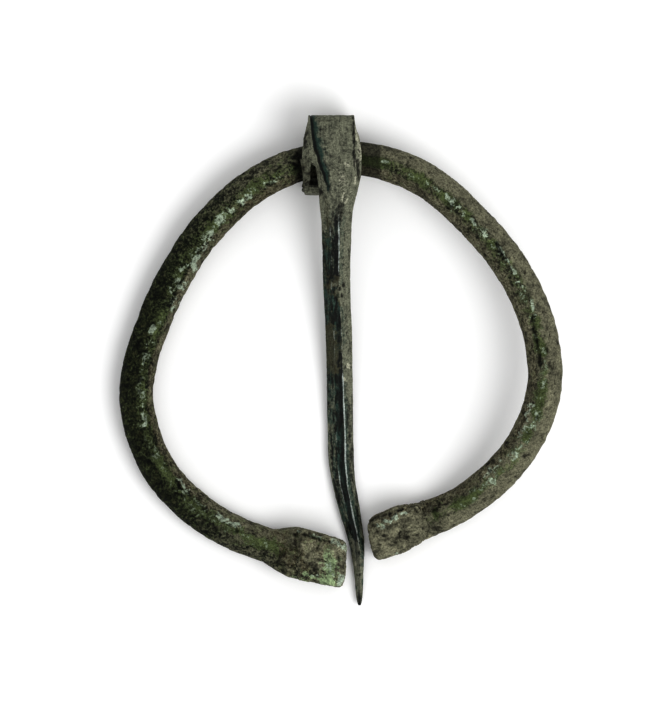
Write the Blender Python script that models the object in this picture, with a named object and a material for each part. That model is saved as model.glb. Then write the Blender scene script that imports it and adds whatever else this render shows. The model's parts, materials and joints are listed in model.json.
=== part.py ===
"""Penannular brooch: an open bronze hoop with folded-back terminals, and a pin that swivels on it.

It lies on the table as found: +Z is up, +Y runs towards the pin's head and +X to the right. The
origin is on the table under the middle of the brooch.
"""

import math
from collections import namedtuple

import bmesh
import bpy
from mathutils import Vector

# All sizes are in millimetres and are turned into metres when the meshes are made
MM = 0.001

# Hoop
HOOP_RADIUS = 26.0
ROD_WIDTH = 4.5
ROD_HEIGHT = 4.4
ROD_ROUNDNESS = 1.7  # 1 is a lozenge with sharp ridges, 2 is an ellipse
RIGHT_ARM_LIFT = 5.7  # the right arm is bent up, so its underside clears the table by this much
HEAD_RISE_NEARBY = 0.3  # climb of the rod from one side of the pin's head to its middle

# Terminals: each end of the rod is flattened, turned up and folded back over itself
LEFT_LAYER = 2.9
LEFT_LIFT = 0.5
LEFT_END_WIDTH = 5.9
LEFT_MIDDLE_WIDTH = 6.3
LEFT_ROOT_WIDTH = 6.5
LEFT_FOLD_LENGTH = 6.4
LEFT_HEADING = 13.5  # degrees that the terminal points away from the head
LEFT_END_SKEW = 8.0  # degrees that its end face is turned from square
LEFT_ROUNDNESS = 4.5
RIGHT_LAYER = 2.4
RIGHT_LIFT = 0.1
RIGHT_END_WIDTH = 5.4
RIGHT_MIDDLE_WIDTH = 6.0
RIGHT_ROOT_WIDTH = 4.9
RIGHT_FOLD_LENGTH = 7.3
RIGHT_HEADING = 20.0
RIGHT_END_SKEW = 10.0
RIGHT_ROUNDNESS = 3.2
FOLD_SLIT = 0.25
FOLD_TIP_GAP = 0.5
FLATTENING_LENGTH = 3.5  # over this length the round rod becomes a flat layer
FOLD_SQUARENESS = 0.5  # extra depth at the two corners of the turn, as a share of half a layer
FOLD_TIP_WEAR = 0.45  # share of its thickness that the fold's tip has lost

# Pin
HEAD_WIDTH = 7.7
STRIP_THICKNESS = 1.3
LOOP_CLEARANCE = 0.75
LOOP_SLACK_OUTSIDE = 1.7
LOOP_SLACK_INSIDE = 1.3
LOOP_FILLET = 1.8
CROWN_FILLET = 1.4
TAIL_GAP = 0.5  # between the end of the bent strip and the underside of the shaft
SHAFT_WIDTH = 3.4
SHAFT_THICKNESS = 2.35
TIP_WIDTH = 0.5
PIN_OVERHANG = 3.75  # how far the point reaches beyond the left terminal
PIN_OFFSET = -0.4  # the shaft's line, left of the hoop's middle
HEAD_OFFSET = -0.6  # the head, left of the shaft's line
PIN_BEND = 3.0  # the point, right of the shaft's line
LEFT_GAP = 0.15
RIGHT_GAP = 0.7

# Fineness of the facets
ROD_FACETS = 18
ARM_STEPS = 78
TURN_STEPS = 8
LAYER_STEP = 1.2
FOLD_SHARES = (0.2, 0.4, 0.6, 0.8, 0.9, 0.96, 1.0)
SHAFT_STEPS = 40
CORNER_STEPS = 5
CORNER_CUT = 0.14

ROD_REACH = max(ROD_WIDTH, ROD_HEIGHT) / 2
BORE = ROD_REACH + LOOP_CLEARANCE
AXIS_HEIGHT = STRIP_THICKNESS + BORE

# The hoop's bent outline: bearing clockwise from the head, and radius as a share of HOOP_RADIUS
LEFT_ROOT = -166.6
RIGHT_ROOT = 151.0
HOOP_OUTLINE = (
    (LEFT_ROOT, 0.993),
    (-154, 1.006),
    (-138, 1.037),
    (-120, 1.060),
    (-102, 1.039),
    (-90, 0.994),
    (-77, 0.944),
    (-60, 0.921),
    (-45, 0.930),
    (-20, 0.980),
    (3, 1.008),
    (18, 1.001),
    (46, 0.958),
    (62, 0.971),
    (84, 1.008),
    (98, 1.029),
    (114, 1.010),
    (130, 0.971),
    (RIGHT_ROOT, 0.915),
)

# Height of the rod's middle above the table, by the same bearing
HOOP_HEIGHT = (
    (LEFT_ROOT, LEFT_LIFT + LEFT_LAYER / 2),
    (-158, ROD_HEIGHT / 2),
    (-90, ROD_HEIGHT / 2),
    (-16, AXIS_HEIGHT - HEAD_RISE_NEARBY),
    (0, AXIS_HEIGHT),
    (16, AXIS_HEIGHT + HEAD_RISE_NEARBY),
    (60, ROD_HEIGHT / 2 + 0.8 * RIGHT_ARM_LIFT),
    (92, ROD_HEIGHT / 2 + RIGHT_ARM_LIFT),
    (122, ROD_HEIGHT / 2 + 0.6 * RIGHT_ARM_LIFT),
    (RIGHT_ROOT, RIGHT_LIFT + RIGHT_LAYER / 2),
)

# Degrees by which the rod's crown ridge leans in towards the middle of the hoop
CROWN_LEAN = (
    (-150, 4.0),
    (-95, 20.0),
    (-40, 12.0),
    (0, 4.0),
    (60, 8.0),
    (140, 4.0),
)

# The pin's form. Keys run from -1 at the strip's tail, through 0 over the rod, to 1 at the point
PIN_SIDEWAYS = (
    (-1.0, 1.6 * HEAD_OFFSET),
    (-0.78, 1.5 * HEAD_OFFSET),
    (-0.6, 1.1 * HEAD_OFFSET),
    (-0.19, 1.2 * HEAD_OFFSET),
    (-0.06, HEAD_OFFSET),
    (0.01, HEAD_OFFSET),
    (0.045, -0.5 * HEAD_OFFSET),
    (0.07, -0.35 * HEAD_OFFSET),
    (0.12, 0.0),
    (0.25, 0.0),
    (0.41, 0.11 * PIN_BEND),
    (0.66, 0.19 * PIN_BEND),
    (0.717, 0.29 * PIN_BEND),
    (0.793, 0.59 * PIN_BEND),
    (0.875, 0.905 * PIN_BEND),
    (0.93, 0.97 * PIN_BEND),
    (1.0, PIN_BEND),
)
PIN_WIDTH = (
    (-1.0, 0.86 * HEAD_WIDTH),
    (-0.78, 0.90 * HEAD_WIDTH),
    (-0.6, 0.97 * HEAD_WIDTH),
    (-0.5, 0.90 * HEAD_WIDTH),
    (-0.32, 0.78 * HEAD_WIDTH),
    (-0.19, 0.80 * HEAD_WIDTH),
    (-0.11, 0.95 * HEAD_WIDTH),
    (-0.05, 0.98 * HEAD_WIDTH),
    (0.01, HEAD_WIDTH),
    (0.042, 1.68 * SHAFT_WIDTH),
    (0.07, 1.5 * SHAFT_WIDTH),
    (0.1, 1.32 * SHAFT_WIDTH),
    (0.136, 1.16 * SHAFT_WIDTH),
    (0.25, 1.04 * SHAFT_WIDTH),
    (0.41, SHAFT_WIDTH),
    (0.67, 0.97 * SHAFT_WIDTH),
    (0.72, 0.90 * SHAFT_WIDTH),
    (0.793, 0.79 * SHAFT_WIDTH),
    (0.87, 0.56 * SHAFT_WIDTH),
    (0.922, 0.32 * SHAFT_WIDTH),
    (0.975, 1.3 * TIP_WIDTH),
    (1.0, 0.5 * TIP_WIDTH),
)
PIN_THICKNESS = (
    (-1.0, 0.85 * STRIP_THICKNESS),
    (-0.85, STRIP_THICKNESS),
    (-0.45, STRIP_THICKNESS),
    (-0.2, 1.15 * STRIP_THICKNESS),
    (0.02, 1.15 * STRIP_THICKNESS),
    (0.08, 0.9 * SHAFT_THICKNESS),
    (0.16, SHAFT_THICKNESS),
    (0.72, 0.95 * SHAFT_THICKNESS),
    (0.87, 0.62 * SHAFT_THICKNESS),
    (0.922, 0.42 * SHAFT_THICKNESS),
    (0.975, 1.3 * TIP_WIDTH),
    (1.0, 0.5 * TIP_WIDTH),
)

# Edges of the flat on the pin's outer face, as shares of half the width there
PIN_FLAT_LEFT = (
    (-1.0, -0.93),
    (-0.5, -0.93),
    (-0.25, -0.80),
    (-0.1, -0.65),
    (0.01, -0.50),
    (0.06, -0.55),
    (0.16, -0.42),
    (0.25, -0.38),
    (0.8, -0.30),
    (1.0, -0.40),
)
PIN_FLAT_RIGHT = (
    (-1.0, 0.93),
    (-0.5, 0.93),
    (-0.25, 0.97),
    (-0.1, 0.90),
    (0.01, 0.70),
    (0.06, 0.55),
    (0.16, 0.22),
    (0.25, 0.13),
    (0.8, 0.05),
    (1.0, 0.40),
)

# 0 where the section is a flat strip and 1 where it is the faceted shaft
PIN_FACETING = ((-1.0, 0.0), (0.01, 0.0), (0.12, 1.0), (1.0, 1.0))

# Height of the shaft's underside, as a share of its height over the rod
SHAFT_DROP = (
    (0.0, 1.0),
    (0.04, 0.99),
    (0.10, 0.86),
    (0.20, 0.60),
    (0.30, 0.37),
    (0.41, 0.19),
    (0.52, 0.065),
    (0.62, 0.0),
    (0.71, 0.0),
    (0.80, 0.02),
    (0.88, 0.05),
    (1.0, 0.10),
)

# A section across the rod: depth_in lies towards up, which points into a fold
Station = namedtuple("Station", "centre side up width depth_in depth_out roundness")


def smooth(rows, key):
    """Reads a table of (key, value) rows on a smooth curve that never overshoots them."""
    keys = [row[0] for row in rows]
    values = [row[1] for row in rows]
    key = min(max(key, keys[0]), keys[-1])
    spans = [after - before for before, after in zip(keys, keys[1:])]
    rises = [(values[i + 1] - values[i]) / spans[i] for i in range(len(spans))]
    slopes = [rises[0]]
    for before, after in zip(rises, rises[1:]):
        slopes.append(2 * before * after / (before + after) if before * after > 0 else 0.0)
    slopes.append(rises[-1])
    i = max(n for n in range(len(spans)) if keys[n] <= key)
    t = (key - keys[i]) / spans[i]
    ease = t * t * (3 - 2 * t)
    lift = t * (1 - t) * spans[i]
    bow = lift * ((1 - t) * slopes[i] - t * slopes[i + 1])
    return values[i] + (values[i + 1] - values[i]) * ease + bow


def mix(first, second, share):
    return first + (second - first) * share


def signed_power(value, power):
    return math.copysign(abs(value) ** power, value)


def polar(bearing, radius):
    """A plan position from a bearing clockwise from +Y."""
    turn = math.radians(bearing)
    return Vector((radius * math.sin(turn), radius * math.cos(turn), 0))


def hoop_centre(bearing):
    """The middle of the rod at a bearing."""
    centre = polar(bearing, HOOP_RADIUS * smooth(HOOP_OUTLINE, bearing))
    centre.z = smooth(HOOP_HEIGHT, bearing)
    return centre


def pin_length():
    """From the rod's middle to the pin's point, which passes the left terminal."""
    head = hoop_centre(0).y
    terminal = hoop_centre(LEFT_ROOT).y - LEFT_ROOT_WIDTH / 2
    return head - terminal + PIN_OVERHANG


def shaft_line(share):
    """The underside of the shaft's middle: share 0 is over the rod and 1 is the point."""
    height = smooth(SHAFT_DROP, share) * (AXIS_HEIGHT + BORE)
    sideways = PIN_OFFSET + smooth(PIN_SIDEWAYS, share)
    return Vector((sideways, hoop_centre(0).y - share * pin_length(), height))


def shaft_edge(y, side):
    """Where the shaft's left (-1) or right (1) edge is at a given y."""
    share = (hoop_centre(0).y - y) / pin_length()
    return shaft_line(share).x + side * smooth(PIN_WIDTH, share) / 2


class Terminal:
    """One end of the rod, flattened and folded back. The side is -1 on the left and 1 on the right."""

    def __init__(self, side, bearing, layer, widths, fold_length, angles, roundness, clearance):
        heading, skew = (math.radians(angle) for angle in angles)
        face = heading - skew
        self.root = hoop_centre(bearing)
        self.along = Vector((-side * math.cos(heading), -math.sin(heading), 0))
        self.across = Vector((side * math.sin(face), -math.cos(face), 0))
        self.layer = layer
        self.fold_length = fold_length
        self.roundness = roundness
        self.flat = fold_length + FOLD_TIP_GAP
        self.rounded = self.flat + FLATTENING_LENGTH
        end_width, middle_width, root_width = widths
        self.widths = (
            (0.0, end_width),
            (0.5 * fold_length, middle_width),
            (fold_length, root_width),
            (self.rounded, ROD_WIDTH),
        )
        self.end = self.end_beside_pin(side, end_width, clearance)

    def end_beside_pin(self, side, end_width, clearance):
        """The middle of the end face, where its near corner leaves the clearance to the shaft."""
        end = self.root.copy()
        for _ in range(5):
            corner = end - self.across * end_width / 2
            target = shaft_edge(corner.y, side) + side * clearance
            end += self.along * (target - corner.x) / self.along.x
        return end

    def away(self, centre):
        """Distance from the end face back along the terminal."""
        return (self.end - centre).dot(self.along)

    def width(self, away):
        return smooth(self.widths, away)

    def toward_rod(self, away, flattened, rod):
        """A value that changes from the flattened layer's to the round rod's."""
        return smooth(((self.flat, flattened), (self.rounded, rod)), away)

    def stations(self):
        """Sections from the root out along the layer, round the fold and back over the top."""
        turn_radius = (self.layer + FOLD_SLIT) / 2
        reach = turn_radius + self.layer / 2
        up = Vector((0, 0, 1))
        turn_start = self.end - self.along * reach
        steps = max(2, round((turn_start - self.root).length / LAYER_STEP))
        stations = []
        for step in range(1, steps + 1):
            centre = mix(self.root, turn_start, step / steps)
            away = self.away(centre)
            depth = self.toward_rod(away, self.layer, ROD_HEIGHT) / 2
            roundness = self.toward_rod(away, self.roundness, ROD_ROUNDNESS)
            stations.append(Station(centre, self.across, up, self.width(away), depth, depth, roundness))
        pivot = turn_start + up * turn_radius
        half = self.layer / 2
        for step in range(1, TURN_STEPS + 1):
            angle = math.pi * step / TURN_STEPS
            inward = up * math.cos(angle) - self.along * math.sin(angle)
            centre = pivot - inward * turn_radius
            outer = half * (1 + FOLD_SQUARENESS * math.sin(2 * angle) ** 2)
            width = self.width(self.away(centre))
            stations.append(Station(centre, self.across, inward, width, half, outer, self.roundness))
        top = pivot + up * turn_radius
        run = self.fold_length - reach
        for share in FOLD_SHARES:
            thinning = FOLD_TIP_WEAR * max(0.0, (share - 0.8) / 0.2) ** 2
            depth = half * (1 - thinning)
            width = self.width(reach + run * share) * (1 - thinning / 2)
            centre = top - self.along * run * share - up * (half - depth) / 2
            stations.append(Station(centre, self.across, -up, width, depth, depth, self.roundness))
        return stations


def arm_stations(left, right):
    """Sections of the bent rod from the left terminal, through the pin's head, to the right one."""
    stations = []
    for step in range(ARM_STEPS + 1):
        bearing = mix(LEFT_ROOT, RIGHT_ROOT, step / ARM_STEPS)
        terminal = left if bearing < 0 else right
        centre = hoop_centre(bearing)
        tangent = (hoop_centre(bearing + 1) - hoop_centre(bearing - 1)).normalized()
        side = Vector((-tangent.y, tangent.x, 0)).normalized()
        up = tangent.cross(side)
        away = (terminal.end - centre).length
        lean = math.radians(smooth(CROWN_LEAN, bearing)) * terminal.toward_rod(away, 0.0, 1.0)
        depth = terminal.toward_rod(away, terminal.layer, ROD_HEIGHT) / 2
        roundness = terminal.toward_rod(away, terminal.roundness, ROD_ROUNDNESS)
        leaning_side = side * math.cos(lean) + up * math.sin(lean)
        leaning_up = up * math.cos(lean) - side * math.sin(lean)
        width = terminal.width(away)
        stations.append(Station(centre, leaning_side, leaning_up, width, depth, depth, roundness))
    return stations


def rod_ring(station):
    """Points round one section, a superellipse whose outer half may be deeper."""
    ring = []
    power = 2 / station.roundness
    for i in range(ROD_FACETS):
        angle = 2 * math.pi * i / ROD_FACETS
        across = signed_power(math.cos(angle), power) * station.width / 2
        rise = signed_power(math.sin(angle), power)
        depth = rise * (station.depth_in if rise > 0 else station.depth_out)
        ring.append(station.centre + station.side * across + station.up * depth)
    return ring


def hoop_rings():
    """All sections of the hoop, from the left terminal's fold to the right one's."""
    left_widths = (LEFT_END_WIDTH, LEFT_MIDDLE_WIDTH, LEFT_ROOT_WIDTH)
    left_angles = (LEFT_HEADING, LEFT_END_SKEW)
    left = Terminal(
        -1, LEFT_ROOT, LEFT_LAYER, left_widths, LEFT_FOLD_LENGTH, left_angles, LEFT_ROUNDNESS, LEFT_GAP
    )
    right_widths = (RIGHT_END_WIDTH, RIGHT_MIDDLE_WIDTH, RIGHT_ROOT_WIDTH)
    right_angles = (RIGHT_HEADING, RIGHT_END_SKEW)
    right = Terminal(
        1, RIGHT_ROOT, RIGHT_LAYER, right_widths, RIGHT_FOLD_LENGTH, right_angles, RIGHT_ROUNDNESS, RIGHT_GAP
    )
    stations = left.stations()[::-1] + arm_stations(left, right) + right.stations()
    return [rod_ring(station) for station in stations]


def rounded_corner(before, corner, after, radius):
    """Points of the arc that rounds a right-angled corner of a path."""
    start = (before - corner).normalized()
    finish = (after - corner).normalized()
    middle = corner + (start + finish) * radius
    points = []
    for step in range(CORNER_STEPS + 1):
        angle = math.pi / 2 * step / CORNER_STEPS
        points.append(middle - finish * radius * math.cos(angle) - start * radius * math.sin(angle))
    return points


def loop_path():
    """The strip's inner face round the rod, from the tail to the crown, about the pin's axis."""
    inside = -(ROD_REACH + LOOP_SLACK_INSIDE)
    outside = ROD_REACH + LOOP_SLACK_OUTSIDE
    tail_share = -inside / pin_length()
    tail_top = shaft_line(tail_share).z - AXIS_HEIGHT - TAIL_GAP
    tail = Vector((0, inside, tail_top))
    crown = Vector((0, 0, BORE))
    low_inside = Vector((0, inside, -BORE))
    low_outside = Vector((0, outside, -BORE))
    high_outside = Vector((0, outside, BORE))
    points = [tail, mix(tail, low_inside, 0.3)]
    points += rounded_corner(tail, low_inside, low_outside, LOOP_FILLET)
    points += rounded_corner(low_inside, low_outside, high_outside, LOOP_FILLET)
    points += rounded_corner(low_outside, high_outside, crown, CROWN_FILLET)
    points += [mix(points[-1], crown, 0.5)]
    return points


def pin_path():
    """Keys and places of the pin's sections, about its axis."""
    loop = loop_path()
    distances = [0.0]
    for before, after in zip(loop, loop[1:]):
        distances.append(distances[-1] + (after - before).length)
    whole = distances[-1] + (loop[-1] - Vector((0, 0, BORE))).length
    path = []
    for point, distance in zip(loop, distances):
        key = distance / whole - 1
        path.append((key, Vector((PIN_OFFSET + smooth(PIN_SIDEWAYS, key), point.y, point.z))))
    axis = pin_axis()
    for step in range(SHAFT_STEPS + 1):
        share = step / SHAFT_STEPS
        path.append((share, shaft_line(share) - Vector((0, axis.y, axis.z))))
    return path


def pin_axis():
    """A point on the line that the pin turns about, which runs along X."""
    return Vector((0, hoop_centre(0).y, AXIS_HEIGHT))


def cut_corners(corners):
    """The outline with each corner cut off by a small flat."""
    ring = []
    for i, corner in enumerate(corners):
        before = corners[i - 1]
        after = corners[(i + 1) % len(corners)]
        ring.append(mix(corner, before, CORNER_CUT))
        ring.append(mix(corner, after, CORNER_CUT))
    return ring


def pin_ring(key, place, outward):
    """Points round the pin's section at a key, on the inner face's line and out from it."""
    half = smooth(PIN_WIDTH, key) / 2
    thickness = smooth(PIN_THICKNESS, key)
    faceting = smooth(PIN_FACETING, key)
    base = mix(0.97, 0.5, faceting) * half
    low = mix(0.1, 0.32, faceting) * thickness
    high = mix(0.35, 0.52, faceting) * thickness
    outline = (
        (-base, 0),
        (base, 0),
        (half, low),
        (half, high),
        (smooth(PIN_FLAT_RIGHT, key) * half, thickness),
        (smooth(PIN_FLAT_LEFT, key) * half, thickness),
        (-half, high),
        (-half, low),
    )
    corners = [place + Vector((1, 0, 0)) * across + outward * rise for across, rise in outline]
    return cut_corners(corners)


def pin_rings():
    """All sections of the pin, from the strip's tail to the point."""
    path = pin_path()
    rings = []
    for i, (key, place) in enumerate(path):
        before = path[max(i - 1, 0)][1]
        after = path[min(i + 1, len(path) - 1)][1]
        tangent = after - before
        outward = Vector((0, tangent.z, -tangent.y)).normalized()
        rings.append(pin_ring(key, place, outward))
    return rings


def loft(name, rings, material, origin, collection):
    """Skins like-numbered rings into one closed body, which no primitive or curve gives."""
    bm = bmesh.new()
    rows = [[bm.verts.new((point - origin) * MM) for point in ring] for ring in rings]
    for lower, upper in zip(rows, rows[1:]):
        for i in range(len(lower)):
            j = (i + 1) % len(lower)
            bm.faces.new((lower[i], lower[j], upper[j], upper[i]))
    bm.faces.new(rows[0])
    bm.faces.new(rows[-1])
    bmesh.ops.recalc_face_normals(bm, faces=bm.faces)
    mesh = bpy.data.meshes.new(name)
    bm.to_mesh(mesh)
    bm.free()
    mesh.shade_smooth()
    mesh.set_sharp_from_angle(angle=math.radians(35))
    mesh.materials.append(material)
    piece = bpy.data.objects.new(name, mesh)
    piece.location = origin * MM
    collection.objects.link(piece)
    return piece


def bronze(name, colour, roughness, metallic):
    """Corroded bronze as one plain finish."""
    material = bpy.data.materials.new(name)
    material.use_nodes = True
    shader = material.node_tree.nodes["Principled BSDF"]
    shader.inputs["Base Color"].default_value = (*colour, 1)
    shader.inputs["Roughness"].default_value = roughness
    shader.inputs["Metallic"].default_value = metallic
    return material


def middle_of(rings):
    """The middle of the plan box round some rings."""
    points = [point for ring in rings for point in ring]
    spans = [(min(p[i] for p in points), max(p[i] for p in points)) for i in range(2)]
    return Vector((sum(spans[0]) / 2, sum(spans[1]) / 2, 0))


def main():
    for old in list(bpy.data.objects):
        bpy.data.objects.remove(old)
    brooch = bpy.data.collections.new("penannular_brooch")
    bpy.context.scene.collection.children.link(brooch)

    axis = pin_axis()
    hoop = hoop_rings()
    pin = [[point + axis for point in ring] for ring in pin_rings()]
    middle = middle_of(hoop + pin)
    hoop = [[point - middle for point in ring] for ring in hoop]
    pin = [[point - middle for point in ring] for ring in pin]

    hoop_bronze = bronze("hoop_bronze", (0.085, 0.085, 0.050), 0.75, 0.15)
    pin_bronze = bronze("pin_bronze", (0.060, 0.070, 0.058), 0.55, 0.25)
    loft("hoop", hoop, hoop_bronze, Vector((0, 0, 0)), brooch)
    loft("pin", pin, pin_bronze, axis - middle, brooch)


main()
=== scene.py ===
import itertools
import json
import math

import bpy
import numpy as np
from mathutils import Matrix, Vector


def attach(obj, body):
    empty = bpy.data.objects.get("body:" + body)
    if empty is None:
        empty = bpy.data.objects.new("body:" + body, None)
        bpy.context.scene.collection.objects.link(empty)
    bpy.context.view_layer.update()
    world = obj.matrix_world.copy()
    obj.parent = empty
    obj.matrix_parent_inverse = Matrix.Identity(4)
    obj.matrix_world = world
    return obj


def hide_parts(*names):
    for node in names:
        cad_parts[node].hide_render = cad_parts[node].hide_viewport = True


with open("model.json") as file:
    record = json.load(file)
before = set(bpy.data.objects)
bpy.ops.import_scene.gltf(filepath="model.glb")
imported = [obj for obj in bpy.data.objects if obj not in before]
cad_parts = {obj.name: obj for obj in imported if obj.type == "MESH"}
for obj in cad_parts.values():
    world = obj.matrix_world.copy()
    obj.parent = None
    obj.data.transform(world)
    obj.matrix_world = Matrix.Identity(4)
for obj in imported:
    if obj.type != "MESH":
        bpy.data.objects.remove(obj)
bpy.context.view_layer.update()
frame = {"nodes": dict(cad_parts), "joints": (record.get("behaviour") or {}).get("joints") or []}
print("Frame loaded with", ", ".join(sorted(frame["nodes"])))

mm = 0.001  # lengths below are in millimetres


# Curves and noise

def readCurve(rows, key):
    # A smooth curve through (key, value) rows that never overshoots them
    keys = [row[0] for row in rows]
    values = [row[1] for row in rows]
    key = min(max(key, keys[0]), keys[-1])
    spans = [after - before for before, after in zip(keys, keys[1:])]
    rises = [(values[i + 1] - values[i]) / spans[i] for i in range(len(spans))]
    slopes = [rises[0]]
    for before, after in zip(rises, rises[1:]):
        slopes.append(2 * before * after / (before + after) if before * after > 0 else 0.0)
    slopes.append(rises[-1])
    i = max(n for n in range(len(spans)) if keys[n] <= key)
    t = (key - keys[i]) / spans[i]
    bow = t * (1 - t) * spans[i] * ((1 - t) * slopes[i] - t * slopes[i + 1])
    return values[i] + (values[i + 1] - values[i]) * t * t * (3 - 2 * t) + bow


def between(first, second, share):
    return first + (second - first) * share


def ramp(values, low, high):
    # 0 at low, 1 at high and smooth between them
    t = np.clip((values - low) / (high - low), 0, 1)
    return t * t * (3 - 2 * t)


def bell(values, width):
    # 1 at 0 and down to about a third at this width
    return np.exp(-(values / width) ** 2)


def lumps(points, size, seed):
    # Gradient noise, about -1 to 1, with lumps of this size
    place = points / size + seed * 7.31
    cell = np.floor(place).astype(np.int64)
    part = place - cell
    ease = part ** 3 * (part * (part * 6 - 15) + 10)
    total = np.zeros(points.shape[:-1])
    for corner in itertools.product((0, 1), repeat=3):
        at = cell + np.array(corner)
        code = (at[..., 0] * 73856093) ^ (at[..., 1] * 19349663) ^ (at[..., 2] * 83492791) ^ (seed * 40503)
        code = ((code ^ (code >> 15)) * 668265261) & 0xFFFFFFFF
        code = ((code ^ (code >> 13)) * 374761393) & 0xFFFFFFFF
        code = code ^ (code >> 16)
        lean = np.stack([(code & 1023), (code >> 10) & 1023, (code >> 20) & 1023], axis=-1) / 511.5 - 1
        reach = np.sum(lean * (part - np.array(corner)), axis=-1)
        share = np.prod(np.where(np.array(corner) == 1, ease, 1 - ease), axis=-1)
        total += reach * share
    return total * 1.3


def crumbs(points, size, octaves, seed):
    # Several sizes of lumps on top of each other
    total = np.zeros(points.shape[:-1])
    for n in range(octaves):
        total += lumps(points, size / 2 ** n, seed + n) * 0.55 ** n
    return total


def flowOf(run, across, rise):
    # The unbent section's coordinates
    return np.stack([np.full_like(across, run), across, rise], axis=-1)


# Hoop

hoop = {
    "radius": 26.0,
    "rodWidth": 4.5,
    "rodHeight": 4.4,
    "rodRoundness": 1.7,
    "rightLift": 5.7,
    "riseByHead": 0.3,
    "slit": 0.25,
    "tipGap": 0.5,
    "flattening": 3.5,
    "squareness": 0.5,
    "tipWear": 0.45,
    "wearStart": 0.8,
    "armSteps": 540,
    "turnSteps": 40,
    "foldSteps": 54,
    "layerStep": 0.14,
    "columns": 96,
    "fromCrownBelow": 9.0,  # what a point on the lower half counts as its way round from the crown
    "outline": (
        (-166.6, 0.993), (-154, 1.006), (-138, 1.037), (-120, 1.06), (-102, 1.039), (-90, 0.994),
        (-77, 0.944), (-60, 0.921), (-45, 0.93), (-20, 0.98), (3, 1.008), (18, 1.001), (46, 0.958),
        (62, 0.971), (84, 1.008), (98, 1.029), (114, 1.01), (130, 0.971), (151, 0.915),
    ),
    "crownLean": ((-150, 4.0), (-95, 20.0), (-40, 12.0), (0, 4.0), (60, 8.0), (140, 4.0)),
}
leftEnd = {
    "side": -1,
    "root": -166.6,
    "layer": 2.9,
    "lift": 0.5,
    "widths": (5.9, 6.3, 6.5),
    "foldLength": 6.4,
    "heading": 13.5,
    "skew": 8.0,
    "roundness": 4.5,
    "gap": 0.15,
}
rightEnd = {
    "side": 1,
    "root": 151.0,
    "layer": 2.4,
    "lift": 0.1,
    "widths": (5.4, 6.0, 4.9),
    "foldLength": 7.3,
    "heading": 20.0,
    "skew": 10.0,
    "roundness": 3.2,
    "gap": 0.7,
}

pin = {
    "headWidth": 7.7,
    "strip": 1.3,
    "clearance": 0.75,
    "slackOutside": 1.7,
    "slackInside": 1.3,
    "loopFillet": 1.8,
    "crownFillet": 1.4,
    "tailGap": 0.5,
    "shaftWidth": 3.4,
    "shaftThickness": 2.35,
    "tipWidth": 0.5,
    "overhang": 3.75,
    "offset": -0.4,
    "headOffset": -0.6,
    "bend": 3.0,
    "step": 0.16,
    "cornerSteps": 14,
}
rodReach = max(hoop["rodWidth"], hoop["rodHeight"]) / 2
bore = rodReach + pin["clearance"]
axisHeight = pin["strip"] + bore

rodMiddle = hoop["rodHeight"] / 2
hoop["height"] = (
    (leftEnd["root"], leftEnd["lift"] + leftEnd["layer"] / 2),
    (-158, rodMiddle),
    (-90, rodMiddle),
    (-16, axisHeight - hoop["riseByHead"]),
    (0, axisHeight),
    (16, axisHeight + hoop["riseByHead"]),
    (60, rodMiddle + 0.8 * hoop["rightLift"]),
    (92, rodMiddle + hoop["rightLift"]),
    (122, rodMiddle + 0.6 * hoop["rightLift"]),
    (rightEnd["root"], rightEnd["lift"] + rightEnd["layer"] / 2),
)


def scaled(size, rows):
    return tuple((key, share * size) for key, share in rows)


# Rows of key and value: the key is -1 at the strip's tail, 0 over the rod and 1 at the point
pin["sideways"] = scaled(pin["headOffset"], (
    (-1, 1.6), (-0.78, 1.5), (-0.6, 1.1), (-0.19, 1.2), (-0.06, 1), (0.01, 1), (0.045, -0.5), (0.07, -0.35),
)) + scaled(pin["bend"], (
    (0.12, 0), (0.25, 0), (0.41, 0.11), (0.66, 0.19), (0.717, 0.29), (0.793, 0.59), (0.875, 0.905),
    (0.93, 0.97), (1, 1),
))
pin["width"] = scaled(pin["headWidth"], (
    (-1, 0.86), (-0.78, 0.9), (-0.6, 0.97), (-0.5, 0.9), (-0.32, 0.78), (-0.19, 0.8), (-0.11, 0.95),
    (-0.05, 0.98), (0.01, 1),
)) + scaled(pin["shaftWidth"], (
    (0.042, 1.68), (0.07, 1.5), (0.1, 1.32), (0.136, 1.16), (0.25, 1.04), (0.41, 1), (0.67, 0.97),
    (0.72, 0.9), (0.793, 0.79), (0.87, 0.56), (0.922, 0.37),
)) + scaled(pin["tipWidth"], ((0.972, 1.8), (0.99, 1.3), (1.0, 0.6)))
pin["thickness"] = scaled(pin["strip"], (
    (-1, 0.85), (-0.85, 1), (-0.45, 1), (-0.2, 1.15), (0.02, 1.15),
)) + scaled(pin["shaftThickness"], (
    (0.08, 0.9), (0.16, 1), (0.72, 0.95), (0.87, 0.62), (0.922, 0.42),
)) + scaled(pin["tipWidth"], ((0.975, 1.3), (1.0, 0.5)))
# Shares of the section's half width
pin["flatLeft"] = (
    (-1, -0.93), (-0.5, -0.93), (-0.26, -0.97), (-0.2, -0.93), (-0.144, -0.76), (-0.113, -0.68),
    (-0.049, -0.614), (0.016, -0.466), (0.03, -0.6), (0.045, -0.7), (0.056, -0.58), (0.071, -0.54),
    (0.16, -0.42), (0.25, -0.38), (0.8, -0.3), (1, -0.4),
)
pin["leftShare"] = (
    (-1, 1), (0.008, 1), (0.02, 0.66), (0.03, 0.79), (0.042, 0.97), (0.05, 1), (1, 1),
)
pin["flatRight"] = (
    (-1, 0.93), (-0.5, 0.93), (-0.25, 0.97), (-0.1, 0.9), (0.01, 0.7), (0.06, 0.55), (0.16, 0.22),
    (0.25, 0.13), (0.33, 0.16), (0.45, 0.2), (0.63, 0.24), (0.8, 0.17), (1, 0.4),
)
pin["faceting"] = ((-1.0, 0.0), (0.01, 0.0), (0.12, 1.0), (1.0, 1.0))
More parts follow.
